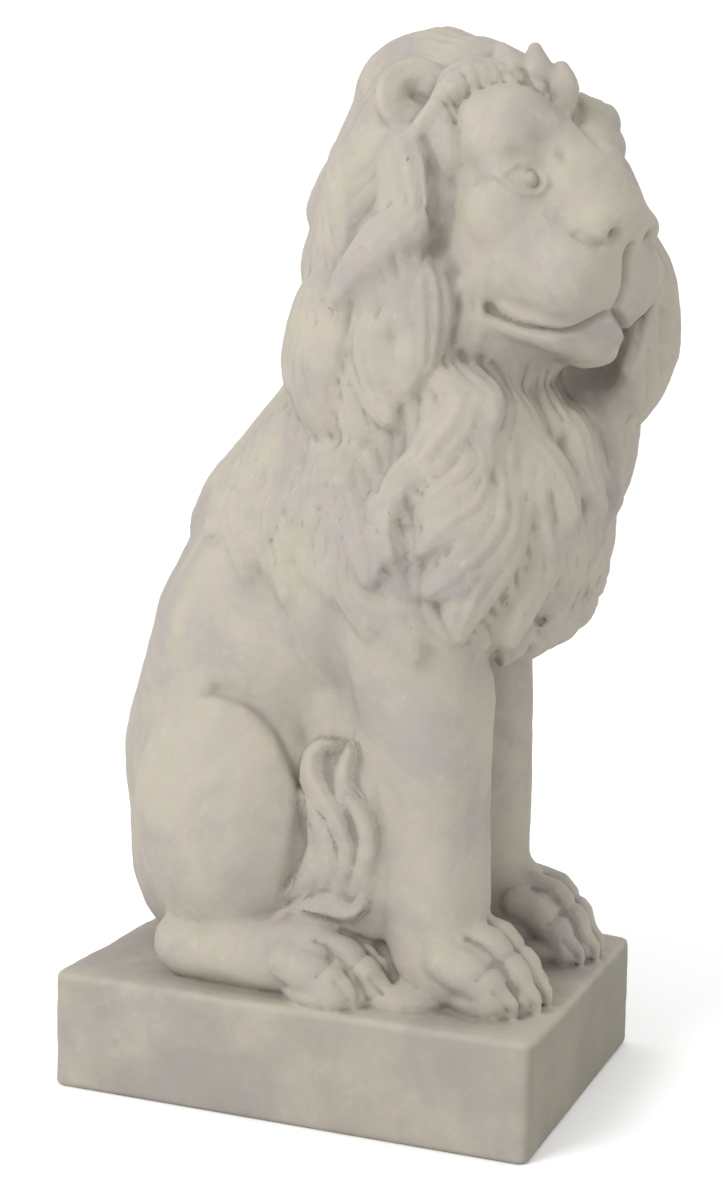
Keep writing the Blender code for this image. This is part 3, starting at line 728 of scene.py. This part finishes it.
class Tool:
    def __init__(self, mesh):
        self.mesh = mesh
        count = len(mesh.vertices)
        self.places = np.empty(count * 3)
        mesh.vertices.foreach_get("co", self.places)
        self.places = self.places.reshape(-1, 3)
        self.normals = np.empty((count, 3))
        mesh.vertices.foreach_get("normal", self.normals.ravel())
        self.place = plain
        self.tree = skinTree(mesh)

    def stroke(self, points, depth, width, mirrored=True):
        # a groove along the points, or a ridge where the depth is below 0
        if len(points) > 2:
            points = curveThrough(points, 4 * len(points))
        for side in (1, -1) if mirrored else (1,):
            spots = [self.place @ Vector((side * x, y, z)) for x, y, z in points]
            line = np.array([self.tree.find_nearest(spot)[0] for spot in spots])
            if len(line) == 1:
                line = np.repeat(line, 2, axis=0)
            low = line.min(0) - width * 3
            high = line.max(0) + width * 3
            inside = np.all((self.places > low) & (self.places < high), axis=1)
            near = self.places[inside]
            away = np.full(len(near), np.inf)
            for a, b in zip(line, line[1:]):
                span = b - a
                share = np.clip((near - a) @ span / max(span @ span, 1e-9), 0, 1)[:, None]
                away = np.minimum(away, np.linalg.norm(near - a - share * span, axis=1))
            sunk = depth * np.exp(-((away / width) ** 2))
            self.places[inside] = near - self.normals[inside] * sunk[:, None]

    def done(self):
        self.mesh.vertices.foreach_set("co", self.places.ravel())
        self.mesh.update()
        self.mesh.vertices.foreach_get("normal", self.normals.ravel())


# Grooves in the head's grid, each with its depth and width. A ridge has a depth below 0.
faceWork = {
    "socket": ([(8.6, -13.6, 5.2), (6.2, -15.0, 4.4)], 0.35, 1.0),
    "upperLid": ([(9.5, -12.6, 3.3), (8.4, -13.8, 4.7), (6.8, -14.8, 4.6), (5.6, -15.2, 2.9)], -0.4, 0.4),
    "lowerLid": ([(9.5, -12.6, 3.3), (8.3, -13.9, 1.9), (6.7, -14.8, 1.8), (5.6, -15.2, 2.9)], -0.35, 0.4),
    "eyeCorner": ([(9.7, -12.4, 3.2), (11.0, -9.6, 3.3)], 0.3, 0.4),
    "eyeball": ([(7.4, -14.3, 3.3)], -0.45, 0.8),
    "iris": ([(7.2 + 0.75 * math.cos(k * math.pi / 4), -14.6, 3.3 + 0.8 * math.sin(k * math.pi / 4))
              for k in range(9)], 0.22, 0.2),
    "besideBridge": ([(4.4, -15.8, 5.4)], 0.5, 0.7),
    "parting": ([(0, -12, 11), (0, -14.6, 7), (0, -15.6, 5.6)], 0.7, 0.9),
    "nostril": ([(2.7, -21.4, -1.9)], 1.9, 0.75),
    "browFold": ([(6.0, -15.0, 7.0), (4.4, -15.6, 8.2), (2.4, -15.2, 9.4)], 0.16, 0.9),
    "noseWing": ([(2.8, -21.2, -2.3), (4.2, -20.2, -2.8), (5.4, -18.6, -2.0)], 0.5, 0.5),
    "underNose": ([(0, -21.2, -3.0), (0, -20.0, -5.6), (0, -18.6, -8.1)], 0.9, 0.5),
    "lips": ([(0, -18.4, -8.1), (3, -18.2, -10.1), (5, -16.4, -10.7), (7, -13.7, -10.3), (8, -11, -9.2)],
             0.8, 0.36),
    "mouthCorner": ([(8.2, -10.4, -9.0)], 0.6, 0.6),
}
throatWork = {"strands": 9, "start": -8, "apart": 1.6, "depth": 0.2, "width": 0.34}


def workFace(tool):
    tool.place = headFrame
    for points, depth, width in faceWork.values():
        tool.stroke(points, depth, width, mirrored=any(x for x, _, _ in points))
    # strands hanging in the hollow of the throat
    for step in range(throatWork["strands"]):
        x = throatWork["start"] + throatWork["apart"] * step
        sway = 0.6 * math.sin(step * 1.9)
        depth = throatWork["depth"] + 0.08 * math.sin(step * 2.7)
        tool.stroke([(x, -9.5, -13.6), (x + sway, -11.0, -16.5), (x * 1.1 - sway, -13.0, -20 - sway * 2)],
                    depth, throatWork["width"], False)


def workThroat(tool):
    # hollow under the jaw
    tool.place = headFrame
    tool.stroke([(9.0, -8.4, -14.0), (6, -10.6, -15.4), (2, -12.6, -16.6)], 2.2, 2.2)
    tool.place = plain


def workBody(tool):
    # edge of the haunch, and the corners between the sides and the fronts of the legs
    tool.stroke(haunch["edge"], 0.7, 0.9)
    tool.stroke([(x + 0.3, y + 2.0, z) for x, y, z in haunch["edge"]], -0.3, 1.4)
    for ridge in legForms["ridges"]:
        tool.stroke(ridge, -0.45, 1.3)
    tool.stroke([(15.0, -3.6, 38), (14.2, -2.2, 32), (14.4, -3.4, 27.6)], 0.4, 1.2)


# Grooves of the toes, each with its depth and width
toeWork = {"split": (0.38, 0.4), "crease": (0.3, 0.4), "claw": (0.25, 0.28)}


def splitToes(tool, x, turn, front, raised, toes):
    # a groove where two toes meet
    for (a, reachA, highA, _), (b, reachB, highB, _) in zip(toes, toes[1:]):
        high = (highA + highB) / 2 + raised
        middle = x + turn * (a + b) / 2
        tip = front - (reachA + reachB) / 2
        tool.stroke([(middle, tip + 5.4, high), (middle, tip + 3.4, high - 0.4),
                     (middle, tip + 0.8, high * 0.55), (middle, tip - 0.2, 1.2)], *toeWork["split"], False)


def creaseToe(tool, at, tip, high, thick):
    # behind the claw, and down both sides of it
    side = thick * 0.7
    tool.stroke([(at - side, tip + 2.5, high * 0.66), (at, tip + 2.0, high * 0.74),
                 (at + side, tip + 2.5, high * 0.66)], *toeWork["crease"], False)
    for edge in (-0.55, 0.55):
        tool.stroke([(at + edge * thick, tip + 0.9, 3.0), (at + edge * thick * 0.6, tip - 0.6, 1.2)],
                    *toeWork["claw"], False)


def workToes(tool):
    for side in (-1, 1):
        shift, raised = legForms["paw"][side]
        for form, turn, front, lift in (
            (legForms, -side, legForms["toeTip"] + shift, raised),
            (footForms, side, footForms["toeTip"], 0),
        ):
            x = side * form["apart"]
            splitToes(tool, x, turn, front, lift, form["toes"])
            for offset, reach, high, thick in form["toes"]:
                creaseToe(tool, x + turn * offset, front - reach, high + lift, thick)


def workBrow(tool):
    # strands combed back over the brow
    tool.place = headFrame
    for side in (-1, 1):
        course = curveThrough(browCourse(side), 15)
        for step, point in enumerate(course[1:-1]):
            long = 1 + 0.3 * math.sin(step * 2.3)
            low = point + Vector((-1.3 * side * long, -1.8, -1.2))
            middle = point + Vector((0.2 * side, -1.2, 1.3))
            high = point + Vector((1.9 * side * long, 0.9, 0.8 * long))
            tool.stroke([low, middle, high], 0.13 + 0.06 * (step % 3), 0.26, False)


def workNeck(tool):
    # the hollow between the cheek and the locks beside it, and the cups of the ears
    tool.place = headFrame
    tool.stroke([(10.2, -4.8, 6.4), (10.6, -6.6, 1.6), (10.6, -6.2, -3.4), (10.8, -4.6, -7)], 0.5, 1.5)
    for side in (-1, 1):
        centre, facing, across, upward = earAxes(side)
        mouth = centre + facing * earForms["rim"]["behind"]
        for down, inward, depth, width in earForms["hollows"]:
            tool.stroke([mouth - upward * down - across * side * inward], depth, width, False)


# The lion

# The front of the head gets finer faces than the rest
finerFace = {"centre": (0, -16, 0), "reach": 12.5, "softened": 12.8, "rounds": 2}


def refineFace(mesh):
    bm = bmesh.new()
    bm.from_mesh(mesh)
    centre = headFrame @ Vector(finerFace["centre"])
    near = [f for f in bm.faces if (f.calc_center_median() - centre).length < finerFace["reach"]]
    edges = list({e for f in near for e in f.edges})
    bmesh.ops.subdivide_edges(bm, edges=edges, cuts=1, use_grid_fill=True)
    close = [v for v in bm.verts if (v.co - centre).length < finerFace["softened"]]
    for _ in range(finerFace["rounds"]):
        bmesh.ops.smooth_vert(bm, verts=close, factor=0.5, use_axis_x=True, use_axis_y=True, use_axis_z=True)
    bmesh.ops.triangulate(bm, faces=[f for f in bm.faces if len(f.verts) > 4])
    bm.to_mesh(mesh)
    bm.free()


def shapeBare():
    # the figure without its hair and toes
    clay = bmesh.new()
    addBody(clay)
    addLegs(clay)
    addManeBulk(clay)
    body = fuse(clay, "body", *grid["body"])
    clay = bmesh.new()
    addHead(clay)
    head = fuse(clay, "head", *grid["head"])
    clay = bmesh.new()
    clay.from_mesh(body)
    clay.from_mesh(head)
    addHaunches(clay)
    addFringe(clay)
    bare = fuse(clay, "bare", *grid["bare"])
    tool = Tool(bare)
    workThroat(tool)
    workBody(tool)
    tool.done()
    print("bare form", len(bare.polygons))
    return bare


def layHair(bare):
    hair = {"locks": [], "tuft": [], "tree": skinTree(bare)}
    layRows(hair)
    layLongLocks(hair)
    layTailTuft(hair)
    return hair


def shapeLion():
    bare = shapeBare()
    hair = layHair(bare)
    tool = Tool(bare)
    high, _ = hairAt(tool.places, tool.normals, hair["locks"])
    tool.places += tool.normals * spreadOut(bare, high, 3)[:, None]
    tool.done()
    print("locks raised", len(hair["locks"]))
    clay = bmesh.new()
    clay.from_mesh(bare)
    addToes(clay)
    addEars(clay)
    addForelocks(clay)
    addPlinth(clay)
    mesh = fuse(clay, "sittingLion", *grid["finished"])
    print("fused", len(mesh.polygons))
    refineFace(mesh)
    tool = Tool(mesh)
    _, parted = hairAt(tool.places, tool.normals, hair["locks"])
    high, split = hairAt(tool.places, tool.normals, hair["tuft"])
    raised = spreadOut(mesh, high, 2) - spreadOut(mesh, parted, 2) - spreadOut(mesh, split, 1)
    tool.places += tool.normals * raised[:, None]
    workToes(tool)
    workFace(tool)
    workNeck(tool)
    workBrow(tool)
    weatherStone(tool)
    tool.done()
    markHollows(tool)
    print("tooled", len(mesh.vertices))
    return mesh


# The mesh is thinned to this many triangles, and the face less than the rest
thinning = {"triangles": 190000, "reach": 0.125, "face": 0.8, "factor": 0.001}


def linked(mesh):
    lion = bpy.data.objects.new("sittingLion", mesh)
    bpy.context.scene.collection.objects.link(lion)
    return lion


def finishLion(mesh):
    unit = grid["unit"]
    raised = Vector((0, 0, grid["plinthTop"]))
    mesh.transform(Matrix.Translation(raised) @ Matrix.Scale(unit, 4))
    lion = linked(mesh)
    group = lion.vertex_groups.new(name="thinned")
    face = headFrame @ Vector(finerFace["centre"]) * unit + raised
    count = len(mesh.vertices)
    places = np.empty(count * 3)
    mesh.vertices.foreach_get("co", places)
    away = np.linalg.norm(places.reshape(-1, 3) - np.array(face), axis=1)
    group.add(range(count), 1.0, "REPLACE")
    group.add(np.nonzero(away < thinning["reach"])[0].tolist(), thinning["face"], "REPLACE")
    thin = lion.modifiers.new("thin", "DECIMATE")
    thin.vertex_group = group.name
    thin.vertex_group_factor = thinning["factor"]
    thin.ratio = min(1.0, thinning["triangles"] / sum(len(p.vertices) - 2 for p in mesh.polygons))
    lion = linked(applied(lion))
    lion.data.shade_smooth()
    print("lion", len(lion.data.polygons), "faces")
    return lion


def spreadOut(mesh, values, rounds):
    # each value becomes the mean of its neighbours', so many times over
    pairs = np.empty(len(mesh.edges) * 2, int)
    mesh.edges.foreach_get("vertices", pairs)
    a, b = pairs[::2], pairs[1::2]
    count = len(mesh.vertices)
    degree = np.maximum(np.bincount(a, minlength=count) + np.bincount(b, minlength=count), 1)
    for _ in range(rounds):
        values = (np.bincount(a, values[b], count) + np.bincount(b, values[a], count)) / degree
    return values


wear = {
    "dent": (0.24, 7.0),  # depth and size of low dents
    "grit": (0.09, 1.5),
    "arris": 0.22,  # how much the plinth's arrises lose at most
    "reach": 1.8,  # and how far from them
    "uneven": (0.7, 0.8, 5),  # least share of the loss, how much it varies, and over what length
    "patch": ((-19.5, 14, -5.5), (3, 9, 4.2)),  # a rough, sunken patch on the plinth's side
    "patchDepth": (0.14, 0.3, 2.2),  # depth, roughness and its size
}


def weatherStone(tool):
    # low dents all over, worn arrises and a rough patch on the plinth
    places = tool.places
    lost = np.zeros(len(places))
    for deep, size in (wear["dent"], wear["grit"]):
        lost += deep * np.array([noise.noise(Vector(p) / size) for p in places])
    half = np.array([plinthForm["width"], plinthForm["length"]]) / grid["unit"] / 2
    x, y, z = abs(places).T
    fromEdge = np.sort(np.stack([half[0] - x, half[1] - y, z], axis=1), axis=1)[:, 1]
    least, varied, size = wear["uneven"]
    for i in np.nonzero((fromEdge < wear["reach"]) & (places[:, 2] < 0.5))[0]:
        rough = least + varied * noise.noise(Vector(places[i]) / size)
        lost[i] += wear["arris"] * rough * (1 - fromEdge[i] / wear["reach"]) ** 2
    centre, reach = [np.array(v) for v in wear["patch"]]
    share = 1 - np.linalg.norm((places - centre) / reach, axis=1)
    deep, rough, size = wear["patchDepth"]
    for i in np.nonzero((share > 0) & (places[:, 2] < -0.5))[0]:
        lost[i] += min(1, 4 * share[i]) * (deep + rough * max(0, noise.noise(Vector(places[i]) / size)))
    underside = 0.6 - grid["plinthTop"] / grid["unit"]
    lost[places[:, 2] < underside] = 0
    tool.places -= tool.normals * spreadOut(tool.mesh, lost, 2)[:, None]


hollowMarks = {"crease": (5, 5.0), "hollow": (50, 1.2)}  # rounds of smoothing, then a scale


def markHollows(tool):
    # how far each point lies below its smoothed surroundings, for the painted shade and dirt in the creases
    # and the mauve patina in the hollows
    for name, (rounds, scale) in hollowMarks.items():
        soft = np.stack([spreadOut(tool.mesh, tool.places[:, k], rounds) for k in range(3)], axis=1)
        depth = np.einsum("ij,ij->i", soft - tool.places, tool.normals) * scale
        tool.mesh.attributes.new(name, "FLOAT", "POINT").data.foreach_set("value", np.clip(depth, -1, 1))


# Stone

stoneLook = {
    "pale": (0.355, 0.325, 0.268),
    "mauve": (0.302, 0.272, 0.252),
    "moss": (0.30, 0.292, 0.228),
    "chalk": (0.43, 0.40, 0.34),
    # dark colour for painted shade and dirt in the creases
    "creaseShadeAndDirt": (0.14, 0.125, 0.105),
    "plinth": (0.225, 0.205, 0.185),  # what lies on the plinth's sides
    "frontShade": (0.17, 0.16, 0.118),  # and the painted shade on its front face
    "wash": [  # colour; scale, detail, roughness and distortion of its clouds; their range and strength
        ("mauve", (7, 6, 0.65, 0.8), (0.40, 0.66, 1.0)),
        ("moss", (16, 5, 0.6, 0.4), (0.50, 0.74, 0.7)),
        ("chalk", (60, 4, 0.7, 0.0), (0.55, 0.8, 0.45)),
        ("mauve", (24, 7, 0.7, 2.5), (0.52, 0.72, 0.4)),
    ],
    "below": (0.121, 0.112),  # heights in metres where the plinth's own wash begins
    "sides": ((9, 5, 0.6), (0.3, 0.6, 0.5)),  # its clouds, as in the wash
    "front": (-0.25, -0.258, 0.55),  # Y in metres where the painted shade on the front face begins, and its strength
    "hollow": (0.1, 0.9, 0.5),  # range and strength of the mauve in the hollows
    "crease": (0.1, 0.8, 0.55),  # and of the painted shade and dirt in the creases
    "roughness": 0.82,
    "specular": 0.25,
    "grain": (120, 6, 0.6),
    "bump": (0.35, 0.002),  # strength and distance
}


def castStone():
    material = bpy.data.materials.new("castStone")
    material.use_nodes = True
    tree = material.node_tree
    shader = tree.nodes["Principled BSDF"]
    shader.inputs["Roughness"].default_value = stoneLook["roughness"]
    shader.inputs["Specular IOR Level"].default_value = stoneLook["specular"]
    place = tree.nodes.new("ShaderNodeTexCoord")

    def clouds(scale, detail, roughness, distortion=0.0):
        node = tree.nodes.new("ShaderNodeTexNoise")
        node.inputs["Scale"].default_value = scale
        node.inputs["Detail"].default_value = detail
        node.inputs["Roughness"].default_value = roughness
        node.inputs["Distortion"].default_value = distortion
        tree.links.new(place.outputs["Object"], node.inputs["Vector"])
        return node.outputs["Fac"]

    def ranged(value, low, high, to=1.0):
        node = tree.nodes.new("ShaderNodeMapRange")
        node.interpolation_type = "SMOOTHSTEP"
        node.inputs["From Min"].default_value = low
        node.inputs["From Max"].default_value = high
        node.inputs["To Max"].default_value = to
        tree.links.new(value, node.inputs["Value"])
        return node.outputs["Result"]

    def mixed(share, first, second):
        node = tree.nodes.new("ShaderNodeMix")
        node.data_type = "RGBA"
        tree.links.new(share, node.inputs["Factor"])
        for value, socket in ((first, node.inputs[6]), (second, node.inputs[7])):
            if isinstance(value, tuple):
                socket.default_value = (*value, 1)
            else:
                tree.links.new(value, socket)
        return node.outputs[2]

    def both(first, second):
        node = tree.nodes.new("ShaderNodeMath")
        node.operation = "MULTIPLY"
        tree.links.new(first, node.inputs[0])
        tree.links.new(second, node.inputs[1])
        return node.outputs["Value"]

    def attribute(name):
        node = tree.nodes.new("ShaderNodeAttribute")
        node.attribute_name = name
        return node.outputs["Fac"]

    base = stoneLook["pale"]
    for colour, cloud, limits in stoneLook["wash"]:
        base = mixed(ranged(clouds(*cloud), *limits), base, stoneLook[colour])
    split = tree.nodes.new("ShaderNodeSeparateXYZ")
    tree.links.new(place.outputs["Object"], split.inputs["Vector"])
    below = ranged(split.outputs["Z"], *stoneLook["below"])
    cloud, limits = stoneLook["sides"]
    base = mixed(both(below, ranged(clouds(*cloud), *limits)), base, stoneLook["plinth"])
    # painted shade: the plinth's front face, turned away from the key light, is darkened
    front = ranged(split.outputs["Y"], *stoneLook["front"])
    base = mixed(both(below, front), base, stoneLook["frontShade"])
    base = mixed(ranged(attribute("hollow"), *stoneLook["hollow"]), base, stoneLook["mauve"])
    # painted shade and dirt: the creases get darker
    base = mixed(ranged(attribute("crease"), *stoneLook["crease"]), base, stoneLook["creaseShadeAndDirt"])
    tree.links.new(base, shader.inputs["Base Color"])
    bump = tree.nodes.new("ShaderNodeBump")
    for socket, value in zip(("Strength", "Distance"), stoneLook["bump"]):
        bump.inputs[socket].default_value = value
    tree.links.new(clouds(*stoneLook["grain"]), bump.inputs["Height"])
    tree.links.new(bump.outputs["Normal"], shader.inputs["Normal"])
    return material


lionMesh = shapeLion()
lion = finishLion(lionMesh)
lion.data.materials.append(castStone())
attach(lion, "root")
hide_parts("sitting_lion")
print("lion dressed")


# Floor, light and camera

studio = {
    "floor": 60.0,
    "paper": (0.92, 0.92, 0.92, 1),
    "world": 1.15,
    "key": {"place": (-2.2, 0.9, 2.2), "aim": (0, 0, 0.55), "size": 1.0, "power": 45},
    "target": (0, 0, 0.5),
    "lift": 0.006,  # how far above the target the picture's middle lies
    "azimuth": -68.9,
    "elevation": 8.1,
    "roll": 1.35,
    "distance": 2.239,
    "lens": 2129 / 1200 * 36,  # focal length in pixels, the picture's height and the sensor in mm
}


def buildStudio():
    bm = bmesh.new()
    bmesh.ops.create_grid(bm, x_segments=1, y_segments=1, size=studio["floor"])
    mesh = bpy.data.meshes.new("floor")
    bm.to_mesh(mesh)
    bm.free()
    floor = bpy.data.objects.new("floor", mesh)
    bpy.context.scene.collection.objects.link(floor)
    paper = bpy.data.materials.new("paper")
    paper.use_nodes = True
    shader = paper.node_tree.nodes["Principled BSDF"]
    shader.inputs["Base Color"].default_value = studio["paper"]
    shader.inputs["Roughness"].default_value = 0.9
    mesh.materials.append(paper)
    world = bpy.data.worlds.new("studio")
    bpy.context.scene.world = world
    world.use_nodes = True
    sky = world.node_tree.nodes["Background"]
    sky.inputs["Color"].default_value = (1, 1, 1, 1)
    sky.inputs["Strength"].default_value = studio["world"]
    key = bpy.data.lights.new("key", "AREA")
    key.size = studio["key"]["size"]
    key.energy = studio["key"]["power"]
    lamp = bpy.data.objects.new("key", key)
    bpy.context.scene.collection.objects.link(lamp)
    lamp.location = studio["key"]["place"]
    aim = Vector(studio["key"]["aim"]) - lamp.location
    lamp.rotation_euler = aim.to_track_quat("-Z", "Y").to_euler()


def placeCamera():
    azimuth, elevation, roll = [math.radians(studio[k]) for k in ("azimuth", "elevation", "roll")]
    back = Vector((math.sin(azimuth) * math.cos(elevation), -math.cos(azimuth) * math.cos(elevation),
                   math.sin(elevation)))
    right = Vector((math.cos(azimuth), math.sin(azimuth), 0))
    up = back.cross(right)
    across = math.cos(roll) * right + math.sin(roll) * up
    above = -math.sin(roll) * right + math.cos(roll) * up
    camera = bpy.data.cameras.new("camera")
    camera.sensor_fit = "AUTO"
    camera.sensor_width = 36
    camera.lens = studio["lens"]
    eye = bpy.data.objects.new("camera", camera)
    bpy.context.scene.collection.objects.link(eye)
    place = Vector(studio["target"]) + up * studio["lift"] + back * studio["distance"]
    turn = Matrix((across, above, back)).transposed().to_4x4()
    eye.matrix_world = Matrix.Translation(place) @ turn
    bpy.context.scene.camera = eye


buildStudio()
placeCamera()
bpy.context.scene.view_settings.view_transform = "Standard"
print("studio set")
